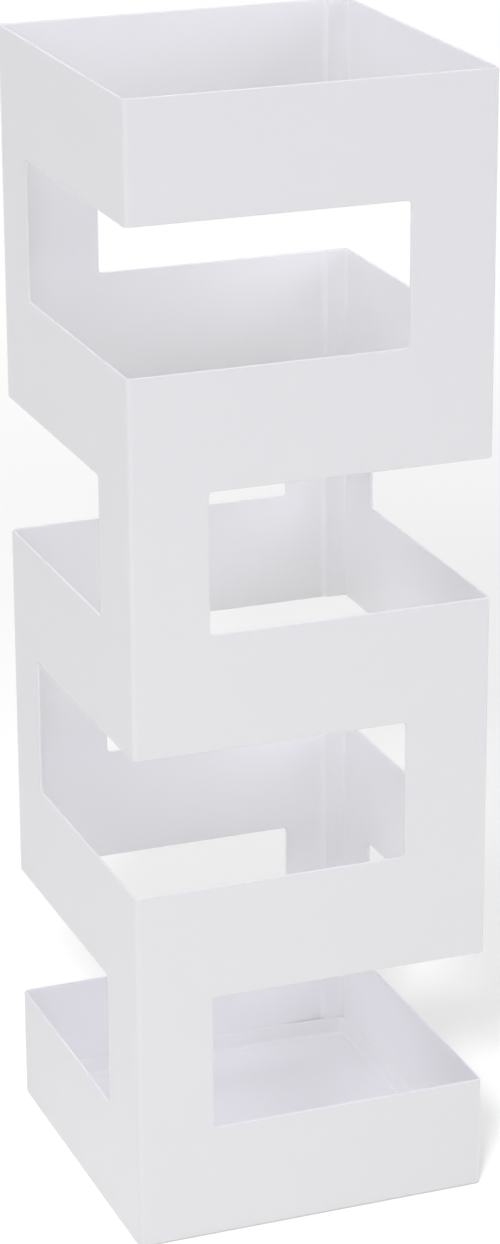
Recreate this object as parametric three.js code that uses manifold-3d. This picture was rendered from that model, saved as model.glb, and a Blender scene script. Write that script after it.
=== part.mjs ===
// Square umbrella stand, folded from one sheet of steel with windows that wrap its corners.
// Millimetres, +Z up. The origin is on the floor, under the middle of the stand.
// The front wall faces -Y, the left wall faces -X, and the seam is inside the back right corner.

import * as THREE from "three";
import { mergeVertices } from "three/addons/utils/BufferGeometryUtils.js";
import Module from "manifold-3d";

// ---- Driving dimensions ----

// Overall size
const width = 155; // outside, along X
const depth = 155; // outside, along Y
const height = 485; // floor to top rim

// Shell sheet
const shellSheet = 1.2; // thickness
const foldRadius = 2.2; // outside of each corner fold
const lapWidth = 10.5; // seam flange, from the outside corner to its cut edge
const lapGap = 0.2; // between the two lapped layers, where no weld joins them
const floorGap = 0.3; // under the shell's bottom edge

// Rings and windows
const ringCount = 5;
const ringHeight = 49.5;
const windowCornerRadius = 1.5;

// Corner posts between windows: the width left on each wall, from the outside corner
const frontLeftPostOnFront = 33.5;
const frontLeftPostOnSide = 36.5;
const frontRightPostOnFront = 37;
const frontRightPostOnSide = 31;
const backRightPostOnSide = 30.5;
const backRightPostOnBack = 29;
const backLeftPostOnBack = 41.5;
const backLeftPostOnSide = 33;

// Spot welds through the lapped seam
const weldDiameter = 4;

// Base pan
const panSheet = 0.8; // thickness
const panHeight = 9; // from its underside to the top of its flange
const panFoldRadius = 2.5; // outside of the fold between floor and flange
const panCornerRadius = 4; // outside, seen from above
const panFit = 0.2; // between the pan and the shell
const joggleLead = 21; // how far the joggle reaches past the lap's cut edge
const joggleRun = 17; // length of its slanted step

// Foot pads
const padDiameter = 16;
const padThickness = 2;
const padChamfer = 0.5;
const padInset = 19; // from the outside of the walls to a pad's centre

// Roundness of the solids
const foldSegments = 6; // chords in a quarter turn of a fold
const padSegments = 32;
const weldSegments = 12;

// ---- Derived dimensions ----

const right = width / 2;
const left = -right;
const back = depth / 2;
const front = -back;
const windowHeight = (height - floorGap - ringCount * ringHeight) / (ringCount - 1);
const levelPitch = ringHeight + windowHeight;
const lapFace = back - shellSheet - lapGap; // outer face of the seam flange
const lapInnerFace = lapFace - shellSheet;

// ---- Solids ----

const wasm = await Module();
wasm.setup();

function toSolid(geometry) {
  geometry.deleteAttribute("normal");
  geometry.deleteAttribute("uv");
  const merged = mergeVertices(geometry, 1e-5);
  const mesh = new wasm.Mesh({
    numProp: 3,
    vertProperties: new Float32Array(merged.attributes.position.array),
    triVerts: new Uint32Array(merged.index.array),
  });
  return new wasm.Manifold(mesh);
}

function toGeometry(solid) {
  const mesh = solid.getMesh();
  const geometry = new THREE.BufferGeometry();
  geometry.setAttribute("position", new THREE.BufferAttribute(mesh.vertProperties, 3));
  geometry.setIndex(new THREE.BufferAttribute(mesh.triVerts, 1));
  geometry.computeVertexNormals();
  return geometry;
}

// ---- Shell ----

// Plan of the folded sheet: round the outer face from the back right corner to the
// seam flange, then back along the inner face.
function sheetPlan() {
  const outer = foldRadius;
  const inner = foldRadius - shellSheet;
  const quarter = Math.PI / 2;
  const folds = [
    [left + outer, back - outer],
    [left + outer, front + outer],
    [right - outer, front + outer],
    [right - outer, lapFace - outer],
  ];

  const plan = new THREE.Shape();
  plan.moveTo(right, back);
  folds.forEach(([x, y], i) => plan.absarc(x, y, outer, (i + 1) * quarter, (i + 2) * quarter, false));
  plan.lineTo(right - lapWidth, lapFace);
  plan.lineTo(right - lapWidth, lapInnerFace);
  folds
    .map(([x, y], i) => ({ x, y, i }))
    .reverse()
    .forEach(({ x, y, i }) => plan.absarc(x, y, inner, (i + 2) * quarter, (i + 1) * quarter, true));
  plan.lineTo(right, back - shellSheet);
  plan.closePath();
  return plan;
}

function foldedSheet() {
  const geometry = new THREE.ExtrudeGeometry(sheetPlan(), {
    depth: height - floorGap,
    bevelEnabled: false,
    curveSegments: foldSegments / 2,
  });
  geometry.translate(0, 0, floorGap);
  return toSolid(geometry);
}

function roundedRectangle(x0, x1, y0, y1, radius) {
  const shape = new THREE.Shape();
  const quarter = Math.PI / 2;
  shape.absarc(x1 - radius, y0 + radius, radius, -quarter, 0, false);
  shape.absarc(x1 - radius, y1 - radius, radius, 0, quarter, false);
  shape.absarc(x0 + radius, y1 - radius, radius, quarter, 2 * quarter, false);
  shape.absarc(x0 + radius, y0 + radius, radius, 2 * quarter, 3 * quarter, false);
  return shape;
}

// How far a window's cutting block reaches past a wall on either side, past both
// lapped layers and the corner folds.
const cutReach = 2 * shellSheet + lapGap + foldRadius + windowCornerRadius;

// A block that cuts one wall's part of a window. along is the wall's direction, "x" or
// "y", from and to are its ends along it, and wall is the wall's outer face.
function windowBlock(along, from, to, wall, bottom) {
  const shape = roundedRectangle(from, to, bottom, bottom + windowHeight, windowCornerRadius);
  const geometry = new THREE.ExtrudeGeometry(shape, {
    depth: 2 * cutReach,
    bevelEnabled: false,
    curveSegments: 2,
  });
  geometry.translate(0, 0, -cutReach);
  geometry.rotateX(Math.PI / 2);
  if (along === "y") {
    geometry.rotateZ(Math.PI / 2);
    geometry.translate(wall, 0, 0);
  } else {
    geometry.translate(0, wall, 0);
  }
  return toSolid(geometry);
}

// Window levels count from the top.
function windowBottom(level) {
  return height - (level + 1) * levelPitch;
}

// The two windows of one level. They wrap opposite corners and leave a post at each of
// the other two, and the corners change at every level.
function windowPair(level) {
  const bottom = windowBottom(level);
  const pastLeft = left - cutReach;
  const pastRight = right + cutReach;
  const pastFront = front - cutReach;
  const pastBack = back + cutReach;
  const block = (...ends) => windowBlock(...ends, bottom);
  if (level % 2 === 0) {
    return [
      block("x", pastLeft, right - frontRightPostOnFront, front),
      block("y", pastFront, back - backLeftPostOnSide, left),
      block("x", left + backLeftPostOnBack, pastRight, back),
      block("y", front + frontRightPostOnSide, pastBack, right),
    ];
  }
  return [
    block("x", left + frontLeftPostOnFront, pastRight, front),
    block("y", pastFront, back - backRightPostOnSide, right),
    block("x", pastLeft, right - backRightPostOnBack, back),
    block("y", front + frontLeftPostOnSide, pastBack, left),
  ];
}

// Spot welds join the lap to the back wall, one halfway up each ring and each back
// right post.
function seamWelds() {
  const heights = [];
  for (let ring = 0; ring < ringCount; ring += 1) {
    heights.push(floorGap + ring * levelPitch + ringHeight / 2);
  }
  for (let level = 1; level < ringCount - 1; level += 2) {
    heights.push(windowBottom(level) + windowHeight / 2);
  }

  const radius = weldDiameter / 2;
  const fromCorner = (foldRadius + lapWidth) / 2;
  return heights.map((z) => {
    const geometry = new THREE.CylinderGeometry(radius, radius, lapGap + shellSheet, weldSegments);
    geometry.translate(right - fromCorner, lapFace + lapGap / 2, z);
    return toSolid(geometry);
  });
}

function shell() {
  let solid = foldedSheet();
  for (const weld of seamWelds()) solid = solid.add(weld);
  for (let level = 0; level < ringCount - 1; level += 1) {
    for (const block of windowPair(level)) solid = solid.subtract(block);
  }
  return toGeometry(solid);
}

// ---- Base pan ----

// Outline of the pan, inset from its outer face, with a joggle in the back edge that
// steps in to clear the lapped seam.
function panOutline(inset) {
  const x = right - shellSheet - panFit;
  const y = back - shellSheet - panFit;
  const lapped = lapInnerFace - panFit;
  const step = y - lapped;
  const joggleStart = right - lapWidth - joggleLead;
  const shift = inset * Math.tan(Math.atan2(step, joggleRun) / 2);
  const r = panCornerRadius;

  const corners = [
    [x - r, lapped - r, 0],
    [-x + r, y - r, 1],
    [-x + r, -y + r, 2],
    [x - r, -y + r, 3],
  ];
  const points = [];
  corners.forEach(([cx, cy, quarter], i) => {
    for (let k = 0; k <= foldSegments; k += 1) {
      const angle = (quarter + k / foldSegments) * (Math.PI / 2);
      points.push(new THREE.Vector2(cx + (r - inset) * Math.cos(angle), cy + (r - inset) * Math.sin(angle)));
    }
    if (i === 0) {
      points.push(new THREE.Vector2(joggleStart + joggleRun - shift, lapped - inset));
      points.push(new THREE.Vector2(joggleStart - shift, y - inset));
    }
  });
  return points;
}

// The pan's wall as [inset, height] pairs: round the outer fold, over the flange's edge
// and down round the inner fold to the floor.
function panProfile() {
  const outer = panFoldRadius;
  const inner = panFoldRadius - panSheet;
  const profile = [];
  for (let k = 0; k <= foldSegments; k += 1) {
    const angle = (k / foldSegments) * (Math.PI / 2);
    profile.push([outer - outer * Math.sin(angle), outer - outer * Math.cos(angle)]);
  }
  profile.push([0, panHeight], [panSheet, panHeight]);
  for (let k = foldSegments; k >= 0; k -= 1) {
    const angle = (k / foldSegments) * (Math.PI / 2);
    profile.push([outer - inner * Math.sin(angle), outer - inner * Math.cos(angle)]);
  }
  return profile;
}

function basePan() {
  const rings = panProfile().map(([inset, z]) => panOutline(inset).map((p) => [p.x, p.y, padThickness + z]));
  const count = rings[0].length;
  const index = [];
  for (let ring = 0; ring < rings.length - 1; ring += 1) {
    for (let i = 0; i < count; i += 1) {
      const next = (i + 1) % count;
      const a = ring * count + i;
      const b = ring * count + next;
      const c = b + count;
      const d = a + count;
      index.push(a, b, c, a, c, d);
    }
  }
  const cap = THREE.ShapeUtils.triangulateShape(panOutline(panFoldRadius), []);
  const top = (rings.length - 1) * count;
  for (const [a, b, c] of cap) {
    index.push(a, c, b);
    index.push(top + a, top + b, top + c);
  }
  const geometry = new THREE.BufferGeometry();
  geometry.setAttribute("position", new THREE.Float32BufferAttribute(rings.flat(2), 3));
  geometry.setIndex(index);
  geometry.computeVertexNormals();
  return geometry;
}

// ---- Foot pads ----

function footPad() {
  const radius = padDiameter / 2;
  const profile = [
    new THREE.Vector2(0, 0),
    new THREE.Vector2(radius - padChamfer, 0),
    new THREE.Vector2(radius, padChamfer),
    new THREE.Vector2(radius, padThickness),
    new THREE.Vector2(0, padThickness),
  ];
  const geometry = new THREE.LatheGeometry(profile, padSegments);
  geometry.rotateX(Math.PI / 2);
  return geometry;
}

// ---- Assembly ----

const materials = {
  whitePowderCoat: () => new THREE.MeshStandardMaterial({ color: 0xe6e6ea, roughness: 0.45, metalness: 0 }),
  greyRubber: () => new THREE.MeshStandardMaterial({ color: 0x8f9092, roughness: 0.85, metalness: 0 }),
};

const stand = new THREE.Group();

function addPiece(name, geometry, material, x = 0, y = 0) {
  const mesh = new THREE.Mesh(geometry, material());
  mesh.name = name;
  mesh.position.set(x, y, 0);
  stand.add(mesh);
}

addPiece("shell", shell(), materials.whitePowderCoat);
addPiece("base_pan", basePan(), materials.whitePowderCoat);

const padX = right - padInset;
const padY = back - padInset;
addPiece("foot_pad_front_left", footPad(), materials.greyRubber, -padX, -padY);
addPiece("foot_pad_front_right", footPad(), materials.greyRubber, padX, -padY);
addPiece("foot_pad_back_right", footPad(), materials.greyRubber, padX, padY);
addPiece("foot_pad_back_left", footPad(), materials.greyRubber, -padX, padY);

export default stand;
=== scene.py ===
import math

import bmesh
import bpy
from bpy.props import FloatProperty, FloatVectorProperty, IntProperty, PointerProperty
from mathutils import Matrix, Vector


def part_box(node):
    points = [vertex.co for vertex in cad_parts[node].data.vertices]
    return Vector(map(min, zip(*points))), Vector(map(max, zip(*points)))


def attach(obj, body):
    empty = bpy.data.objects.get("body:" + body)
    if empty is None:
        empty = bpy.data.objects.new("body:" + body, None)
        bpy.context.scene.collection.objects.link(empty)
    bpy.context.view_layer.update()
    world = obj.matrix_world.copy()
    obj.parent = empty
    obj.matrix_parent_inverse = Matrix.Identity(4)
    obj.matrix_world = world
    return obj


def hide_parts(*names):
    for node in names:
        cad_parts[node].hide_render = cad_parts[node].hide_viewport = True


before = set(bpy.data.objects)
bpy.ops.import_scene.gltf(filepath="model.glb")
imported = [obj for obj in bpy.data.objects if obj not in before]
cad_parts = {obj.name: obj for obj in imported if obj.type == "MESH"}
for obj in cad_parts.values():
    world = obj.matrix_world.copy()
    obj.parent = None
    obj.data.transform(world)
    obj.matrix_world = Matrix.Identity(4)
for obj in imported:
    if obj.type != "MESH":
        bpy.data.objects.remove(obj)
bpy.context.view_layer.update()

bl_info = {
    "name": "Umbrella stand",
    "version": (1, 0, 0),
    "blender": (4, 5, 0),
    "location": "View3D > Sidebar > Stand",
    "description": "Builds a square umbrella stand folded from one sheet of powder-coated steel",
    "category": "Add Mesh",
}

# Everything is in metres, in the CAD model's frame: +Z up, the front wall faces -Y and the
# left wall faces -X.
SHELL_LOW, SHELL_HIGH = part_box("shell")
PAN_LOW, PAN_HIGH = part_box("base_pan")
PAD_LOW, PAD_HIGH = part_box("foot_pad_front_left")
BODY = "root"
MM = 0.001
QUARTER = math.pi / 2


# ---- Settings ----


def length(name, description, default):
    """A property that holds a length in metres."""
    return FloatProperty(
        name=name, description=description, default=default, min=0, precision=5, unit="LENGTH", subtype="DISTANCE"
    )


def share(name, description, default):
    """A property that holds a number from 0 to 1."""
    return FloatProperty(name=name, description=description, default=default, min=0, max=1, subtype="FACTOR")


def colour(name, description, default):
    """A property that holds a linear colour."""
    return FloatVectorProperty(
        name=name, description=description, default=default, size=3, min=0, max=1, subtype="COLOR"
    )


def watts(name, description, default):
    """A property that holds a lamp's power."""
    return FloatProperty(name=name, description=description, default=default, min=0, unit="POWER")


def degrees(name, description, default):
    """A property that holds an angle, given here in degrees."""
    return FloatProperty(
        name=name, description=description, default=math.radians(default), unit="ROTATION", subtype="ANGLE"
    )


class ShellSizes(bpy.types.PropertyGroup):
    """Sizes of the folded sheet."""

    width: length("Width", "Outside of the shell, along X", SHELL_HIGH.x - SHELL_LOW.x)
    depth: length("Depth", "Outside of the shell, along Y", SHELL_HIGH.y - SHELL_LOW.y)
    top: length("Top", "Height of the top rim above the floor", SHELL_HIGH.z)
    bottom: length("Bottom", "Height of the shell's bottom edge above the floor", SHELL_LOW.z)
    sheet: length("Sheet", "Thickness of the steel sheet", 1.2 * MM)
    fold_radius: length("Fold radius", "Outside radius of the corner folds", 2.2 * MM)
    lap_width: length("Lap width", "Seam flange, from the outside corner to its cut edge", 10.5 * MM)
    lap_gap: length("Lap gap", "Between the two lapped layers", 0.2 * MM)
    ring_count: IntProperty(name="Rings", description="Full rings, one above the other", default=5, min=2)
    ring_height: length("Ring height", "Height of each full ring", 49.5 * MM)
    corner_radius: length("Window corner radius", "Rounding inside the corners of the windows", 1.5 * MM)
    edge_radius: length("Edge radius", "Rounding of the coated cut edges", 0.52 * MM)


class PostWidths(bpy.types.PropertyGroup):
    """What the windows leave of each wall at a corner post, from the outside corner."""

    front_left_on_front: length("Front left, on the front", "Width left on the front wall", 33.5 * MM)
    front_left_on_side: length("Front left, on the side", "Width left on the left wall", 36.5 * MM)
    front_right_on_front: length("Front right, on the front", "Width left on the front wall", 37 * MM)
    front_right_on_side: length("Front right, on the side", "Width left on the right wall", 31 * MM)
    back_right_on_side: length("Back right, on the side", "Width left on the right wall", 30.5 * MM)
    back_right_on_back: length("Back right, on the back", "Width left on the back wall", 29 * MM)
    back_left_on_back: length("Back left, on the back", "Width left on the back wall", 41.5 * MM)
    back_left_on_side: length("Back left, on the side", "Width left on the left wall", 33 * MM)


class WeldSizes(bpy.types.PropertyGroup):
    """Sizes of the spot weld marks and of the coat bead on the seam."""

    diameter: length("Diameter", "Across one weld mark", 4.4 * MM)
    rise: length("Rise", "Height of the mark's rim above the sheet", 0.07 * MM)
    bead_reach: length("Bead reach", "Width of the coat's ramp beside the flange's cut edge", 2 * MM)
    bead_height: length("Bead height", "How far up the cut edge the ramp goes", 0.95 * MM)


class PanSizes(bpy.types.PropertyGroup):
    """Sizes of the base pan."""

    sheet: length("Sheet", "Thickness of the pan's sheet", 0.8 * MM)
    fold_radius: length("Fold radius", "Outside radius between the floor and the flange", 2.5 * MM)
    corner_radius: length("Corner radius", "Outside radius of the corners, seen from above", 4 * MM)
    fit: length("Fit", "Between the pan and the shell, once both are coated", 0.02 * MM)
    joggle_lead: length("Joggle lead", "How far the joggle reaches past the seam's cut edge", 21 * MM)
    joggle_run: length("Joggle run", "Length of the joggle's slanted step", 17 * MM)
    lip: length("Lip", "Thickness that the flange thins to at its top edge", 0.35 * MM)


class PadSizes(bpy.types.PropertyGroup):
    """Sizes of the foot pads."""

    diameter: length("Diameter", "Across one pad", PAD_HIGH.x - PAD_LOW.x)
    thickness: length("Thickness", "Between the floor and the pan", PAD_HIGH.z - PAD_LOW.z)
    spread_x: length("Spread along X", "Between the centres of two pads", -(PAD_HIGH.x + PAD_LOW.x))
    spread_y: length("Spread along Y", "Between the centres of two pads", -(PAD_HIGH.y + PAD_LOW.y))
    edge_radius: length("Edge radius", "Rounding of the bottom edge", 0.5 * MM)
    dish_depth: length("Dish depth", "Depth of the hollow in the underside", 0.3 * MM)


class CoatFinish(bpy.types.PropertyGroup):
    """Finish of the white powder coat."""

    tint: colour("Colour", "Colour of the coat", (0.911, 0.908, 0.908))
    shade: colour("Shade", "Colour of the coat where it lies a little thinner", (0.903, 0.9, 0.9))
    roughness: share("Roughness", "Roughness of the coat", 0.42)
    peel_size: length("Peel size", "Size of the orange-peel dimples", 1.1 * MM)
    peel_depth: length("Peel depth", "Depth of the orange-peel dimples", 0.02 * MM)


class RubberFinish(bpy.types.PropertyGroup):
    """Finish of the foot pads' rubber."""

    tint: colour("Colour", "Colour of the rubber", (0.28, 0.28, 0.29))
    roughness: share("Roughness", "Roughness of the rubber", 0.8)


class StudioSettings(bpy.types.PropertyGroup):
    """Camera and light."""

    azimuth: degrees("Azimuth", "Camera's turn from the front, towards the right", -20.876)
    elevation: degrees("Elevation", "Camera's height as an angle above the horizon", 20.071)
    roll: degrees("Roll", "Camera's turn about its own axis", -0.242)
    distance: length("Distance", "From the camera to the point that it looks at", 1.6071)
    aim_height: length("Aim height", "Height of the point that the camera looks at", 0.24077)
    aim_side: length("Aim side", "That point's offset to the camera's right", 0.00214)
    focal_length: FloatProperty(name="Focal length", description="In millimetres, on a 36 mm sensor", default=110.93)
    light: colour("Light", "Colour of the lamps", (0.916, 0.908, 1.0))
    fill: watts("Fill", "Power of the lamp that lightens the inner walls and casts no shadow", 30.3)
    top: watts("Top", "Power of the lamp overhead", 26.7)
    front_low: watts("Low front", "Power of the low lamp behind the camera", 24)
    front_high: watts("High front", "Power of the raised lamp in front", 32.8)
    front_right: watts("Front right", "Power of the lamp at the front right", 43.5)
    right: watts("Right", "Power of the lamp at the right", 71)
    left: watts("Left", "Power of the lamp at the left", 22.6)
    left_high: watts("High left", "Power of the raised lamp at the left", 31)
    back_left: watts("Back left", "Power of the lamp at the back left", 35)
    back: watts("Back", "Power of the low lamp behind", 66)
    floor_key: watts("Floor key", "Power of the lamp that casts the floor's main shadow", 17.5)
    floor_left: watts("Floor left", "Power of the lamp that lights the floor beside the left wall", 0.6)
    floor_fill: watts("Floor fill", "Power of the lamp that lightens the floor's shadows", 322)
    bounces: IntProperty(
        name="Bounces", description="How often light bounces between the white walls", default=12, min=0
    )


# ---- Node trees written as expressions ----


class Value:
    """An output socket that takes part in expressions, where each operator adds a Math node."""

    def __init__(self, graph, socket):
        self.graph = graph
        self.socket = socket

    def __add__(self, other):
        return self.graph.math("ADD", self, other)

    def __radd__(self, other):
        return self.graph.math("ADD", other, self)

    def __sub__(self, other):
        return self.graph.math("SUBTRACT", self, other)

    def __mul__(self, other):
        return self.graph.math("MULTIPLY", self, other)


class Graph:
    """Adds nodes to a node tree."""

    spacing = 220

    def __init__(self, tree):
        self.tree = tree

    def add(self, kind, settings=None, inputs=None):
        """A node of that kind, with its settings made first and then its sockets' values or links."""
        node = self.tree.nodes.new(kind)
        node.location.x = self.spacing * len(self.tree.nodes)
        for name, value in (settings or {}).items():
            setattr(node, name, value)
        for key, value in (inputs or {}).items():
            if isinstance(value, Value):
                self.tree.links.new(value.socket, node.inputs[key])
            else:
                node.inputs[key].default_value = value
        return node

    def node(self, kind, settings=None, inputs=None, output=0):
        """The named or numbered output of a new node."""
        return Value(self, self.add(kind, settings, inputs).outputs[output])

    def math(self, operation, *values):
        return self.node("ShaderNodeMath", {"operation": operation}, dict(enumerate(values)))

    def point(self, x=0.0, y=0.0, z=0.0):
        return self.node("ShaderNodeCombineXYZ", inputs={"X": x, "Y": y, "Z": z})


def geometry_graph(name, inputs):
    """An empty Geometry Nodes tree with named inputs: its Graph, and a function that gives an input."""
    tree = bpy.data.node_groups.new(name, "GeometryNodeTree")
    tree.interface.new_socket("Geometry", in_out="INPUT", socket_type="NodeSocketGeometry")
    tree.interface.new_socket("Geometry", in_out="OUTPUT", socket_type="NodeSocketGeometry")
    for label, kind in inputs.items():
        tree.interface.new_socket(label, in_out="INPUT", socket_type="NodeSocket" + kind)
    graph = Graph(tree)
    entry = graph.add("NodeGroupInput")
    return graph, lambda label: Value(graph, entry.outputs[label])


def end_geometry(graph, geometry, material):
    """The tree's last nodes."""
    real = graph.node("GeometryNodeRealizeInstances", inputs={"Geometry": geometry})
    painted = graph.node("GeometryNodeSetMaterial", inputs={"Geometry": real, "Material": material})
    graph.add("NodeGroupOutput", inputs={"Geometry": painted})


def run_geometry(piece, graph, values):
    """Runs the tree on a piece and leaves its result as the piece's plain mesh."""
    modifier = piece.modifiers.new(graph.tree.name, "NODES")
    modifier.node_group = graph.tree
    for item in graph.tree.interface.items_tree:
        if item.in_out == "INPUT" and item.name in values:
            modifier[item.identifier] = values[item.name]
    evaluated = piece.evaluated_get(bpy.context.evaluated_depsgraph_get())
    mesh = bpy.data.meshes.new_from_object(evaluated)
    piece.modifiers.clear()
    old = piece.data
    piece.data = mesh
    mesh.name = piece.name
    bpy.data.meshes.remove(old)


# ---- Meshes ----


def mesh_object(name, shape, material=None):
    """A piece made from a bmesh, which is freed."""
    mesh = bpy.data.meshes.new(name)
    shape.to_mesh(mesh)
    shape.free()
    piece = bpy.data.objects.new(name, mesh)
    bpy.context.scene.collection.objects.link(piece)
    if material:
        mesh.materials.append(material)
    return piece


def shade_smooth(piece):
    """Smooth faces whose normals follow the large flat faces."""
    for face in piece.data.polygons:
        face.use_smooth = True
    normals = piece.modifiers.new("Even normals", "WEIGHTED_NORMAL")
    normals.weight = 100
    normals.keep_sharp = True


def seat(piece, slot, *nodes):
    """Rides the piece on the stand's body and lets it stand for its CAD nodes."""
    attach(piece, BODY)
    if nodes:
        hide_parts(*nodes)


def lathe(profile, segments):
    """A solid of revolution round Z from (radius, height) pairs that start and end on the axis, upwards."""
    shape = bmesh.new()
    rings = []
    for radius, height in profile:
        if radius == 0:
            rings.append([shape.verts.new((0, 0, height))] * segments)
            continue
        turns = [2 * math.pi * k / segments for k in range(segments)]
        rings.append([shape.verts.new((radius * math.cos(a), radius * math.sin(a), height)) for a in turns])
    for low, high in zip(rings, rings[1:]):
        for k in range(segments):
            corners = [low[k], low[(k + 1) % segments], high[(k + 1) % segments], high[k]]
            shape.faces.new(dict.fromkeys(corners))
    return shape


# ---- Materials ----


def new_material(name):
    material = bpy.data.materials.new(name)
    material.use_nodes = True
    material.node_tree.nodes.clear()
    return material, Graph(material.node_tree)


def finish_material(graph, inputs, constants):
    """Principled surface. inputs vary over the surface, constants don't."""
    surface = graph.node("ShaderNodeBsdfPrincipled", inputs={**inputs, **constants})
    graph.add("ShaderNodeOutputMaterial", inputs={"Surface": surface})


def noise(graph, place, size, detail=2.0):
    """Noise from 0 to 1 whose lumps are about that size in metres."""
    inputs = {"Vector": place, "Scale": 1 / size, "Detail": detail, "Roughness": 0.5}
    return graph.node("ShaderNodeTexNoise", inputs=inputs, output="Fac")


def powder_coat(name, finish):
    """Satin white powder coat: a fine orange peel, and a film that is a little uneven."""
    grain_size = finish.peel_size / 4
    film_size = 40 * MM
    film_change, peel_change = 0.08, 0.06  # how far each one moves the roughness
    grain_height = 0.2  # beside the peel's
    material, graph = new_material(name)
    place = graph.node("ShaderNodeTexCoord", output="Object")
    peel = noise(graph, place, finish.peel_size)
    grain = noise(graph, place, grain_size)
    film = noise(graph, place, film_size)
    tint = graph.node(
        "ShaderNodeMix",
        {"data_type": "RGBA"},
        {"Factor": film, "A": (*finish.tint, 1), "B": (*finish.shade, 1)},
        output="Result",
    )
    roughness = finish.roughness + (film - 0.5) * film_change + (peel - 0.5) * peel_change
    height = peel + grain * grain_height
    normal = graph.node("ShaderNodeBump", inputs={"Height": height, "Distance": finish.peel_depth, "Strength": 1.0})
    finish_material(graph, {"Base Color": tint, "Roughness": roughness, "Normal": normal}, {"IOR": 1.5})
    return material


def foot_rubber(name, finish):
    """Matte moulded rubber."""
    grain_size, grain_depth = 0.4 * MM, 0.05 * MM
    grain_change = 0.15  # how far the grain moves the roughness
    patch_size = 5 * MM
    darker = [0.85 * channel for channel in finish.tint]
    material, graph = new_material(name)
    place = graph.node("ShaderNodeTexCoord", output="Object")
    grain = noise(graph, place, grain_size, 3.0)
    patches = noise(graph, place, patch_size)
    tint = graph.node(
        "ShaderNodeMix",
        {"data_type": "RGBA"},
        {"Factor": patches, "A": (*finish.tint, 1), "B": (*darker, 1)},
        output="Result",
    )
    roughness = finish.roughness + (grain - 0.5) * grain_change
    normal = graph.node("ShaderNodeBump", inputs={"Height": grain, "Distance": grain_depth, "Strength": 1.0})
    finish_material(graph, {"Base Color": tint, "Roughness": roughness, "Normal": normal}, {"IOR": 1.5})
    return material


def shared_material(name, make, finish):
    """The material of that name, made the first time that it is asked for."""
    return bpy.data.materials.get(name) or make(name, finish)


# ---- Shell ----


class Blank:
    """The shell's flat sheet. u runs along it, from the back wall's cut end at the back right corner, round the
    back, left, front and right walls to the seam flange's cut edge. z is the height."""

    fold_steps = 8
    longest_step = 12 * MM

    def __init__(self, sizes, posts):
        self.sizes = sizes
        self.posts = posts
        radius = sizes.fold_radius
        arc = (radius - sizes.sheet / 2) * QUARTER
        self.left = sizes.width - radius + arc
        self.front = self.left + sizes.depth - 2 * radius + arc
        self.right = self.front + sizes.width - 2 * radius + arc
        self.lap = self.right + sizes.depth - 2 * radius - sizes.sheet - sizes.lap_gap + arc
        self.end = self.lap + sizes.lap_width - radius
        self.folds = [(start - arc, start) for start in (self.left, self.front, self.right, self.lap)]
        self.pitch = (sizes.top - sizes.bottom - sizes.ring_height) / (sizes.ring_count - 1)

    def windows(self):
        """Every window's piece of the sheet, as (u from, u to, z from, z to). One that wraps the seam is two pieces,
        which run off the sheet's ends."""
        sizes, posts = self.sizes, self.posts
        width, depth, radius = sizes.width, sizes.depth, sizes.fold_radius
        past_end = 1.0
        uneven = [
            (-past_end, width - posts.back_left_on_back),
            (self.left + posts.back_left_on_side - radius, self.front + width - posts.front_right_on_front - radius),
            (self.right + posts.front_right_on_side - radius, self.end + past_end),
        ]
        even = [
            (posts.back_right_on_back, self.left + depth - posts.front_left_on_side - radius),
            (self.front + posts.front_left_on_front - radius, self.right + depth - posts.back_right_on_side - radius),
        ]
        found = []
        for level in range(sizes.ring_count - 1):
            high = sizes.top - sizes.ring_height - level * self.pitch
            low = sizes.top - (level + 1) * self.pitch
            found += [(*ends, low, high) for ends in (even if level % 2 else uneven)]
        return found

    def stops(self, windows):
        """Where the sheet's grid has its columns and its rows."""
        inset = self.sizes.corner_radius
        columns = [0, self.end]
        for start, end in self.folds:
            columns += [start + (end - start) * k / self.fold_steps for k in range(self.fold_steps + 1)]
        rows = [self.sizes.bottom, self.sizes.top]
        for start, end, low, high in windows:
            columns += [u for u in (start, start + inset, end - inset, end) if 0 < u < self.end]
            rows += [low, low + inset, high - inset, high]
        return divided(columns, self.longest_step), divided(rows, self.longest_step)

    def mesh(self):
        """The flat sheet with its windows, as a grid of faces in the XZ plane."""
        windows = self.windows()
        columns, rows = self.stops(windows)
        shape = bmesh.new()
        points = {}

        def vertex(u, z):
            key = (round(u / MM, 4), round(z / MM, 4))
            if key not in points:
                points[key] = shape.verts.new((u, 0, z))
            return points[key]

        for u0, u1 in zip(columns, columns[1:]):
            for z0, z1 in zip(rows, rows[1:]):
                u, z = (u0 + u1) / 2, (z0 + z1) / 2
                hole = next((w for w in windows if w[0] < u < w[1] and w[2] < z < w[3]), None)
                if hole is None:
                    shape.faces.new([vertex(*p) for p in ((u0, z0), (u1, z0), (u1, z1), (u0, z1))])
                else:
                    self.fillet(shape, vertex, hole, u, z)
        return shape

    def fillet(self, shape, vertex, hole, u, z, steps=6):
        """Fills what a rounded corner leaves of its window, if (u, z) lies in that corner of it."""
        radius = self.sizes.corner_radius
        for corner_u, side in ((hole[0], 1), (hole[1], -1)):
            for corner_z, up in ((hole[2], 1), (hole[3], -1)):
                if abs(u - corner_u) > radius or abs(z - corner_z) > radius:
                    continue
                middle = (corner_u + side * radius, corner_z + up * radius)
                turns = [QUARTER * k / steps for k in range(steps + 1)]
                arc = [(middle[0] - side * radius * math.sin(a), middle[1] - up * radius * math.cos(a)) for a in turns]
                if side * up < 0:
                    arc.reverse()
                for start, end in zip(arc, arc[1:]):
                    shape.faces.new([vertex(*p) for p in ((corner_u, corner_z), start, end)])


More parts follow.
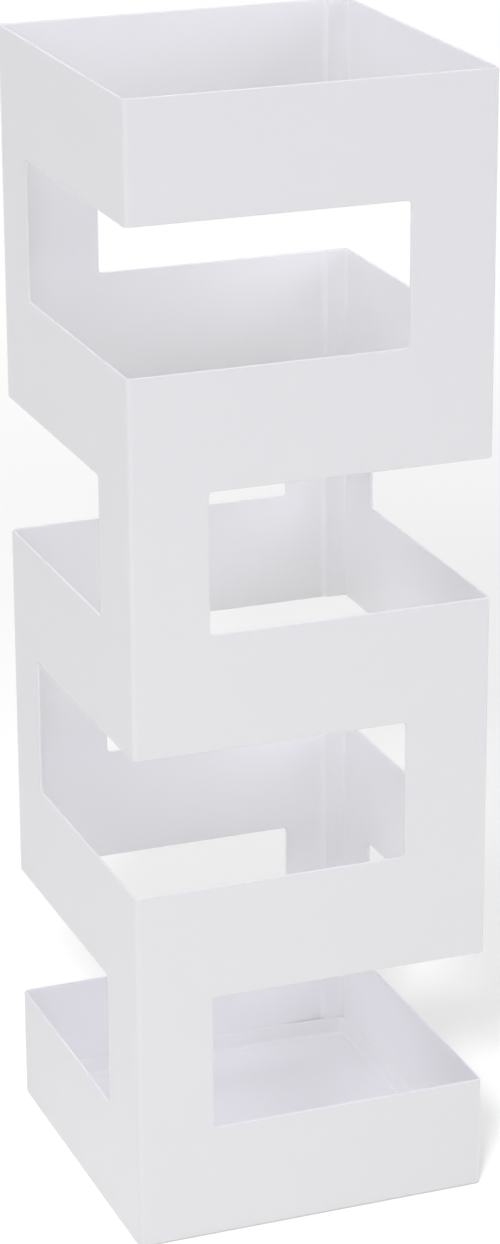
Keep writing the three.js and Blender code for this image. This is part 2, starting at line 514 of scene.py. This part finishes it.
def divided(stops, longest):
    """The stops in order, with evenly spaced ones added where two are further apart than longest."""
    nearest = 1e-7
    ordered = []
    for stop in sorted(stops):
        if not ordered or stop - ordered[-1] > nearest:
            ordered.append(stop)
    filled = ordered[:1]
    for start, end in zip(ordered, ordered[1:]):
        count = math.ceil((end - start) / longest - 1e-9)
        filled += [start + (end - start) * (k + 1) / count for k in range(count)]
    return filled


def fold_graph():
    """Folds the flat sheet along its plan: each vertex goes to its distance along the plan's line."""
    graph, given = geometry_graph(
        "Fold the sheet",
        {
            "Width": "Float",
            "Depth": "Float",
            "Sheet": "Float",
            "Fold Radius": "Float",
            "Lap Width": "Float",
            "Lap Gap": "Float",
            "Fold Steps": "Int",
            "Material": "Material",
        },
    )
    half = given("Sheet") * 0.5
    right = given("Width") * 0.5
    back = given("Depth") * 0.5
    lap_line = back - given("Lap Gap") - given("Sheet") * 1.5
    corners = [
        (right, back - half),
        (half - right, back - half),
        (half - right, half - back),
        (right - half, half - back),
        (right - half, lap_line),
        (right - given("Lap Width"), lap_line),
    ]
    choice = graph.add("GeometryNodeIndexSwitch", {"data_type": "VECTOR"})
    while len(choice.index_switch_items) < len(corners):
        choice.index_switch_items.new()
    index = graph.node("GeometryNodeInputIndex")
    graph.tree.links.new(index.socket, choice.inputs["Index"])
    for number, (x, y) in enumerate(corners):
        graph.tree.links.new(graph.point(x, y).socket, choice.inputs[number + 1])

    line = graph.node("GeometryNodeMeshLine", inputs={"Count": len(corners)})
    bent = graph.node("GeometryNodeSetPosition", inputs={"Geometry": line, "Position": Value(graph, choice.outputs[0])})
    path = graph.node("GeometryNodeMeshToCurve", inputs={"Mesh": bent})
    plan = graph.node(
        "GeometryNodeFilletCurve",
        {"mode": "POLY"},
        {"Curve": path, "Count": given("Fold Steps"), "Radius": given("Fold Radius") - half},
    )

    place = graph.node("GeometryNodeInputPosition")
    parts = graph.add("ShaderNodeSeparateXYZ", inputs={"Vector": place})
    on_plan = graph.node(
        "GeometryNodeSampleCurve",
        {"mode": "LENGTH", "use_all_curves": True},
        {"Curves": plan, "Length": Value(graph, parts.outputs["X"])},
        output="Position",
    )
    flat = graph.add("ShaderNodeSeparateXYZ", inputs={"Vector": on_plan})
    folded = graph.point(*[Value(graph, flat.outputs[axis]) for axis in "XY"], Value(graph, parts.outputs["Z"]))
    sheet = graph.node("GeometryNodeSetPosition", inputs={"Geometry": given("Geometry"), "Position": folded})
    end_geometry(graph, sheet, given("Material"))
    return graph


class STAND_OT_shell(bpy.types.Operator):
    """Punches the flat sheet, folds it and gives it its thickness and rounded cut edges"""

    bl_idname = "stand.shell"
    bl_label = "Shell"

    def execute(self, context):
        scene = context.scene
        sizes = scene.stand_shell
        coat = shared_material("White powder coat", powder_coat, scene.stand_coat)
        piece = mesh_object("folded_shell", Blank(sizes, scene.stand_posts).mesh())
        run_geometry(
            piece,
            fold_graph(),
            {
                "Width": sizes.width,
                "Depth": sizes.depth,
                "Sheet": sizes.sheet,
                "Fold Radius": sizes.fold_radius,
                "Lap Width": sizes.lap_width,
                "Lap Gap": sizes.lap_gap,
                "Fold Steps": 4 * Blank.fold_steps,
                "Material": coat,
            },
        )
        thickness = piece.modifiers.new("Sheet", "SOLIDIFY")
        thickness.thickness = sizes.sheet
        thickness.offset = 0
        thickness.use_even_offset = True
        edges = piece.modifiers.new("Cut edges", "BEVEL")
        edges.width = sizes.edge_radius
        edges.segments = 3
        edges.limit_method = "ANGLE"
        edges.angle_limit = math.radians(60)
        edges.use_clamp_overlap = False
        shade_smooth(piece)
        seat(piece, "white_powder_coat", "shell")
        return {"FINISHED"}


# ---- Spot weld marks ----


def repeat_graph(name):
    """Copies of one object at the geometry's points."""
    graph, given = geometry_graph(name, {"Copied": "Object", "Material": "Material"})
    shape = graph.node("GeometryNodeObjectInfo", inputs={"Object": given("Copied")}, output="Geometry")
    copies = graph.node("GeometryNodeInstanceOnPoints", inputs={"Points": given("Geometry"), "Instance": shape})
    end_geometry(graph, copies, given("Material"))
    return graph


def repeated(name, points, shape, material):
    """A piece made of copies of a shape at the points."""
    dots = bmesh.new()
    for point in points:
        dots.verts.new(point)
    piece = mesh_object(name, dots)
    copied = mesh_object(name + "_one", shape)
    for face in copied.data.polygons:
        face.use_smooth = True
    run_geometry(piece, repeat_graph("Repeat " + name), {"Copied": copied, "Material": material})
    bpy.data.objects.remove(copied)
    return piece


def seam_bead(sizes, weld, blank, steps=8):
    """The coat's ramp up the flange's cut edge from the back wall, wherever both are there."""
    corner = Vector((sizes.width / 2 - sizes.lap_width, sizes.depth / 2 - sizes.sheet))
    shares = [k / steps for k in range(steps + 1)]
    section = [corner - Vector((weld.bead_reach * (1 - t), weld.bead_height * t**1.5)) for t in shares]
    hidden = sizes.edge_radius
    section += [corner + Vector((hidden, -weld.bead_height)), corner + Vector((hidden, 0))]
    cuts = [(low, high) for start, _, low, high in blank.windows() if start < 0]
    ends = [sizes.top] + [z for low, high in cuts for z in (high, low)] + [sizes.bottom]
    shape = bmesh.new()
    for high, low in zip(ends[::2], ends[1::2]):
        rings = [
            [shape.verts.new((point.x, point.y, z)) for point in section]
            for z in (low + sizes.edge_radius, high - sizes.edge_radius)
        ]
        for k in range(len(section)):
            after = (k + 1) % len(section)
            shape.faces.new((rings[0][k], rings[0][after], rings[1][after], rings[1][k]))
        shape.faces.new(rings[1])
        shape.faces.new(reversed(rings[0]))
    bmesh.ops.recalc_face_normals(shape, faces=shape.faces)
    return shape


class STAND_OT_seam_welds(bpy.types.Operator):
    """Finishes the seam with a shallow ring mark at each spot weld and a bead of coat beside the flange"""

    bl_idname = "stand.seam_welds"
    bl_label = "Seam"

    def execute(self, context):
        scene = context.scene
        sizes, weld = scene.stand_shell, scene.stand_welds
        blank = Blank(sizes, scene.stand_posts)
        window = blank.pitch - sizes.ring_height
        heights = [sizes.bottom + ring * blank.pitch + sizes.ring_height / 2 for ring in range(sizes.ring_count)]
        heights += [sizes.top - (level + 1) * blank.pitch + window / 2 for level in range(1, sizes.ring_count - 1, 2)]

        radius = weld.diameter / 2
        rim = 0.82 * radius
        foot = -0.1 * MM  # sunk into the flange
        hollow = [(0.7, 0.6), (0.45, 0.25), (0, 0.15)]  # inside the rim, as shares of the radius and the rise
        shape = lathe(
            [(0, foot), (radius, foot), (radius, 0)]
            + [(rim + (radius - rim) * math.cos(a), weld.rise * math.sin(a)) for a in (0.5, 1.0, QUARTER)]
            + [(across * radius, up * weld.rise) for across, up in hollow],
            24,
        )
        shape.transform(Matrix.Rotation(QUARTER, 4, "X"))
        x = sizes.width / 2 - (sizes.fold_radius + sizes.lap_width) / 2
        y = sizes.depth / 2 - 2 * sizes.sheet - sizes.lap_gap
        coat = shared_material("White powder coat", powder_coat, scene.stand_coat)
        piece = repeated("seam_weld_marks", [(x, y, z) for z in heights], shape, coat)
        seat(piece, "white_powder_coat")

        seat(mesh_object("seam_coat_bead", seam_bead(sizes, weld, blank), coat), "white_powder_coat")
        return {"FINISHED"}


# ---- Base pan ----


def pan_outline(inset, pan, sizes, steps=10):
    """The pan seen from above, inset from its outer face, with the joggle in its back edge past the seam."""
    x = sizes.width / 2 - sizes.sheet - pan.fit
    y = sizes.depth / 2 - sizes.sheet - pan.fit
    step = sizes.sheet + sizes.lap_gap
    start = sizes.width / 2 - sizes.lap_width - pan.joggle_lead
    shift = inset * math.tan(math.atan2(step, pan.joggle_run) / 2)
    radius = pan.corner_radius
    points = []
    for turn, (cx, cy) in enumerate(
        [(x - radius, y - step - radius), (radius - x, y - radius), (radius - x, radius - y), (x - radius, radius - y)]
    ):
        for k in range(steps + 1):
            angle = (turn + k / steps) * QUARTER
            points.append((cx + (radius - inset) * math.cos(angle), cy + (radius - inset) * math.sin(angle)))
        if turn == 0:
            points += [(start + pan.joggle_run - shift, y - step - inset), (start - shift, y - inset)]
    return points


def pan_profile(pan, height, steps=8):
    """The pan's wall as (inset, height) pairs, from the underside over the flange's thin edge to the floor."""
    outer, lip = pan.fold_radius, pan.lip
    flat = 0.3  # the edge's level part, as a share of its thickness
    inner = outer - pan.sheet
    turns = [QUARTER * k / steps for k in range(steps + 1)]
    profile = [(outer - outer * math.sin(a), outer - outer * math.cos(a)) for a in turns]
    profile += [(0, height), (lip * flat, height)]
    profile += [(lip * (flat + (1 - flat) * math.sin(a)), height - 2 * lip * (1 - math.cos(a))) for a in turns[2::2]]
    profile += [(outer - inner * math.sin(a), outer - inner * math.cos(a)) for a in reversed(turns)]
    return profile


class STAND_OT_base_pan(bpy.types.Operator):
    """Builds the base pan with its folds, rounded edge and joggle"""

    bl_idname = "stand.base_pan"
    bl_label = "Base pan"

    def execute(self, context):
        scene = context.scene
        pan, sizes = scene.stand_pan, scene.stand_shell
        shape = bmesh.new()
        rings = []
        for inset, height in pan_profile(pan, PAN_HIGH.z - PAN_LOW.z):
            z = PAN_LOW.z + height
            rings.append([shape.verts.new((x, y, z)) for x, y in pan_outline(inset, pan, sizes)])
        for low, high in zip(rings, rings[1:]):
            for k in range(len(low)):
                after = (k + 1) % len(low)
                face = shape.faces.new((low[k], low[after], high[after], high[k]))
                if high[k].co.z == low[k].co.z == PAN_HIGH.z:
                    shape.edges.get((low[k], low[after])).smooth = False
        shape.faces.new(reversed(rings[0]))
        shape.faces.new(rings[-1])
        coat = shared_material("White powder coat", powder_coat, scene.stand_coat)
        piece = mesh_object("drip_pan", shape, coat)
        shade_smooth(piece)
        seat(piece, "white_powder_coat", "base_pan")
        return {"FINISHED"}


# ---- Foot pads ----


class STAND_OT_foot_pads(bpy.types.Operator):
    """Puts a dished rubber pad under each corner of the pan"""

    bl_idname = "stand.foot_pads"
    bl_label = "Foot pads"

    def execute(self, context):
        scene = context.scene
        pad = scene.stand_pads
        radius, edge, top = pad.diameter / 2, pad.edge_radius, pad.thickness
        dish, tread = 0.6 * radius, 0.72 * radius  # where the hollow's bottom ends and the tread begins
        turns = [QUARTER * k / 4 for k in range(5)]
        profile = [(0, pad.dish_depth), (dish, pad.dish_depth), (tread, 0)]
        profile += [(radius - edge + edge * math.sin(a), edge - edge * math.cos(a)) for a in turns]
        profile += [(radius, top), (0, top)]
        x, y = pad.spread_x / 2, pad.spread_y / 2
        points = [(-x, -y, 0), (x, -y, 0), (x, y, 0), (-x, y, 0)]
        rubber = shared_material("Grey rubber", foot_rubber, scene.stand_rubber)
        piece = repeated("rubber_foot_pads", points, lathe(profile, 48), rubber)
        corners = ("front_left", "front_right", "back_right", "back_left")
        seat(piece, "grey_rubber", *["foot_pad_" + corner for corner in corners])
        return {"FINISHED"}


# ---- Studio ----


def soft_light(
    name, power, azimuth, elevation, tint=(1, 1, 1), size=2.4, distance=4.5, casts_shadow=True, shows_in_gloss=True
):
    """A square lamp that faces the middle of the stand from that direction, in degrees."""
    data = bpy.data.lights.new(name, "AREA")
    data.shape = "SQUARE"
    data.size = size
    data.energy = power
    data.color = tint
    data.use_shadow = casts_shadow
    light = bpy.data.objects.new(name, data)
    light.visible_glossy = shows_in_gloss
    a, e = math.radians(azimuth), math.radians(elevation)
    away = Vector((math.sin(a) * math.cos(e), -math.cos(a) * math.cos(e), math.sin(e)))
    light.location = Vector((0, 0, SHELL_HIGH.z / 2)) + away * distance
    light.rotation_euler = away.to_track_quat("Z", "Y").to_euler()
    bpy.context.scene.collection.objects.link(light)
    return light


def lamp_reach(name, floor, state):
    """A list for lamps, which keeps them to the floor ("INCLUDE") or off it ("EXCLUDE")."""
    reach = bpy.data.collections.new(name)
    reach.objects.link(floor)
    reach.collection_objects[0].light_linking.link_state = state
    return reach


def seen_directly(graph):
    """1 for rays that show a surface to the camera, straight or in a reflection or glass."""
    rays = graph.add("ShaderNodeLightPath")
    camera, glossy, through = [
        Value(graph, rays.outputs[name]) for name in ("Is Camera Ray", "Is Glossy Ray", "Is Transmission Ray")
    ]
    return graph.math("MINIMUM", camera + glossy + through, 1.0)


def white_sky():
    """A world that shows plain white and leaves the light to the lamps."""
    world = bpy.data.worlds.new("Studio")
    world.use_nodes = True
    world.node_tree.nodes.clear()
    graph = Graph(world.node_tree)
    dark = graph.node("ShaderNodeBackground", inputs={"Color": (0, 0, 0, 1)})
    white = graph.node("ShaderNodeBackground", inputs={"Color": (1, 1, 1, 1), "Strength": 1.0})
    both = graph.node("ShaderNodeMixShader", inputs={"Fac": seen_directly(graph), 1: dark, 2: white})
    graph.add("ShaderNodeOutputWorld", inputs={"Surface": both})
    bpy.context.scene.world = world


def pale_floor():
    """A plain pale floor that keeps the stand's shadow and shows white further out."""
    reach = 4  # from its middle to its edges
    below = 0.1 * MM  # under the pads, so that the faces don't meet
    white_from, all_white = 0.5, 1.5  # distances at which the white starts to grow, and is all that shows
    near_white = 0.3  # share of white beside the stand
    shown_paint = (0.95, 0.95, 0.95, 1)
    bounce_paint = (0.525, 0.525, 0.49, 1)  # what the light that it throws back sees
    shape = bmesh.new()
    bmesh.ops.create_grid(shape, x_segments=1, y_segments=1, size=reach)
    bmesh.ops.translate(shape, verts=shape.verts, vec=(0, 0, -below))
    material, graph = new_material("Pale floor")
    place = graph.node("ShaderNodeTexCoord", output="Object")
    away = graph.node("ShaderNodeVectorMath", {"operation": "LENGTH"}, {0: place}, output="Value")
    ramp = {"Value": away, "From Min": white_from, "From Max": all_white}
    far = graph.node("ShaderNodeMapRange", {"interpolation_type": "SMOOTHSTEP"}, ramp)
    paint = graph.node("ShaderNodeBsdfDiffuse", inputs={"Color": shown_paint})
    white = graph.node("ShaderNodeEmission", inputs={"Color": (1, 1, 1, 1), "Strength": 1.0})
    shown = graph.node("ShaderNodeMixShader", inputs={"Fac": far * (1 - near_white) + near_white, 1: paint, 2: white})
    dull = graph.node("ShaderNodeBsdfDiffuse", inputs={"Color": bounce_paint})
    both = graph.node("ShaderNodeMixShader", inputs={"Fac": seen_directly(graph), 1: dull, 2: shown})
    graph.add("ShaderNodeOutputMaterial", inputs={"Surface": both})
    floor = mesh_object("floor", shape, material)
    return floor


def studio_camera(studio):
    """The camera, turned and raised as the settings say."""
    a, e = studio.azimuth, studio.elevation
    back = Vector((math.sin(a) * math.cos(e), -math.cos(a) * math.cos(e), math.sin(e)))
    right = Vector((math.cos(a), math.sin(a), 0))
    aim = right * studio.aim_side + Vector((0, 0, studio.aim_height))
    turned = Matrix((right, back.cross(right), back)).transposed() @ Matrix.Rotation(studio.roll, 3, "Z")
    data = bpy.data.cameras.new("Camera")
    data.sensor_width = 36
    data.lens = studio.focal_length
    camera = bpy.data.objects.new("Camera", data)
    camera.matrix_world = Matrix.Translation(aim + back * studio.distance) @ turned.to_4x4()
    bpy.context.scene.collection.objects.link(camera)
    bpy.context.scene.camera = camera


class STAND_OT_studio(bpy.types.Operator):
    """Sets up the camera, the pale floor and plain soft light"""

    bl_idname = "stand.studio"
    bl_label = "Studio"

    def execute(self, context):
        studio = context.scene.stand_studio
        studio_camera(studio)
        white_sky()
        floor = pale_floor()
        tint = studio.light
        stand_lamps = [
            # Without a shadow, so that it reaches the walls inside.
            soft_light("Fill", studio.fill, -45, 16, tint, casts_shadow=False),
            soft_light("Top", studio.top, 0, 88, tint, size=2.2, distance=3.0),
            soft_light("Low front", studio.front_low, -21, 8, tint, size=1.4),
            soft_light("High front", studio.front_high, -15, 50, tint),
            soft_light("Front right", studio.front_right, 30, 20, tint),
            soft_light("Right", studio.right, 85, 25, tint),
            soft_light("Left", studio.left, -95, 25, tint),
            soft_light("High left", studio.left_high, -80, 45, tint),
            soft_light("Back left", studio.back_left, -140, 30, tint),
            # Kept out of reflections, or it would glint along the left rims.
            soft_light("Back", studio.back, 180, 13, tint, size=2.0, shows_in_gloss=False),
        ]
        floor_lamps = [
            soft_light("Floor key", studio.floor_key, -29.5, 30.5, size=0.25, distance=1.5),
            soft_light("Floor left", studio.floor_left, -75, 60, size=0.5, distance=1.0),
            soft_light("Floor fill", studio.floor_fill, -60, 80, size=6.0, distance=5.0),
        ]
        for lamps, reach in (
            (stand_lamps, lamp_reach("Off the floor", floor, "EXCLUDE")),
            (floor_lamps, lamp_reach("Floor only", floor, "INCLUDE")),
        ):
            for lamp in lamps:
                lamp.light_linking.receiver_collection = reach
        context.scene.cycles.diffuse_bounces = studio.bounces
        context.scene.view_settings.view_transform = "Standard"
        return {"FINISHED"}


# ---- Add-on ----

SETTINGS = {
    "stand_shell": ShellSizes,
    "stand_posts": PostWidths,
    "stand_welds": WeldSizes,
    "stand_pan": PanSizes,
    "stand_pads": PadSizes,
    "stand_coat": CoatFinish,
    "stand_rubber": RubberFinish,
    "stand_studio": StudioSettings,
}
OPERATORS = [STAND_OT_studio, STAND_OT_shell, STAND_OT_seam_welds, STAND_OT_base_pan, STAND_OT_foot_pads]


class STAND_PT_panel(bpy.types.Panel):
    """Lists the stand's pieces and their settings."""

    bl_idname = "STAND_PT_panel"
    bl_label = "Umbrella stand"
    bl_space_type = "VIEW_3D"
    bl_region_type = "UI"
    bl_category = "Stand"

    def draw(self, context):
        for operator in OPERATORS:
            self.layout.operator(operator.bl_idname)
        for name, group in SETTINGS.items():
            box = self.layout.box()
            box.label(text=group.__doc__)
            for setting in group.__annotations__:
                box.prop(getattr(context.scene, name), setting)


def register():
    for group in SETTINGS.values():
        bpy.utils.register_class(group)
    for name, group in SETTINGS.items():
        setattr(bpy.types.Scene, name, PointerProperty(type=group))
    for operator in OPERATORS:
        bpy.utils.register_class(operator)
    bpy.utils.register_class(STAND_PT_panel)


def unregister():
    bpy.utils.unregister_class(STAND_PT_panel)
    for operator in reversed(OPERATORS):
        bpy.utils.unregister_class(operator)
    for name in SETTINGS:
        delattr(bpy.types.Scene, name)
    for group in reversed(SETTINGS.values()):
        bpy.utils.unregister_class(group)


def main():
    register()
    bpy.ops.stand.studio()
    bpy.ops.stand.shell()
    bpy.ops.stand.seam_welds()
    bpy.ops.stand.base_pan()
    bpy.ops.stand.foot_pads()


if __name__ == "__main__":
    main()
